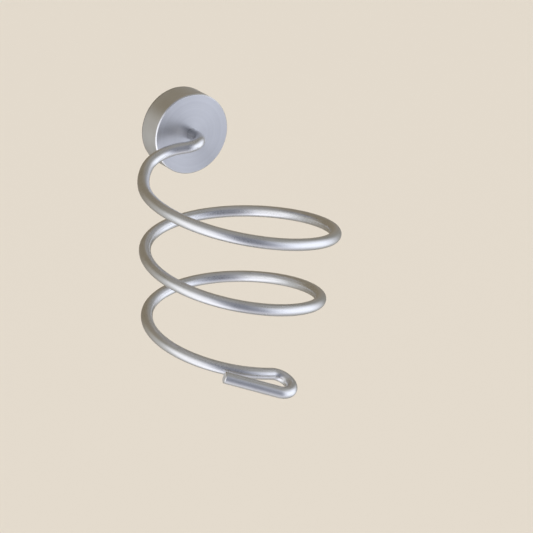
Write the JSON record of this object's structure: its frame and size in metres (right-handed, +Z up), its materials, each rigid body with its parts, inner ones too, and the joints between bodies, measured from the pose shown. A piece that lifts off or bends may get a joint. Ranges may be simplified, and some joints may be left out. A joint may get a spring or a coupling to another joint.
{
  "type": "hair dryer holder",
  "caption": "Wall-mounted hair dryer holder: a round rosette and one bent rod coiled round the dryer's barrel, with a hook at its end for the plug.",
  "frame": {"origin": "centre of the rosette, on the wall", "axes": "+Y into the wall, +Z up, +X to the right of a user who faces the wall"},
  "size_m": [0.102, 0.1231, 0.1268],
  "materials": {
    "satin_aluminium": "fine bead-blasted, silver anodised",
    "zinc_plated_steel": "bright zinc plated",
    "black_steel": "black oxide"
  },
  "bodies": {
    "root": {"rosette_cup": "satin_aluminium", "spiral_rod": "satin_aluminium", "wall_plate": "zinc_plated_steel", "rod_screw": "zinc_plated_steel", "spring_washer": "zinc_plated_steel", "set_screw": "black_steel"}
  },
  "joints": []
}
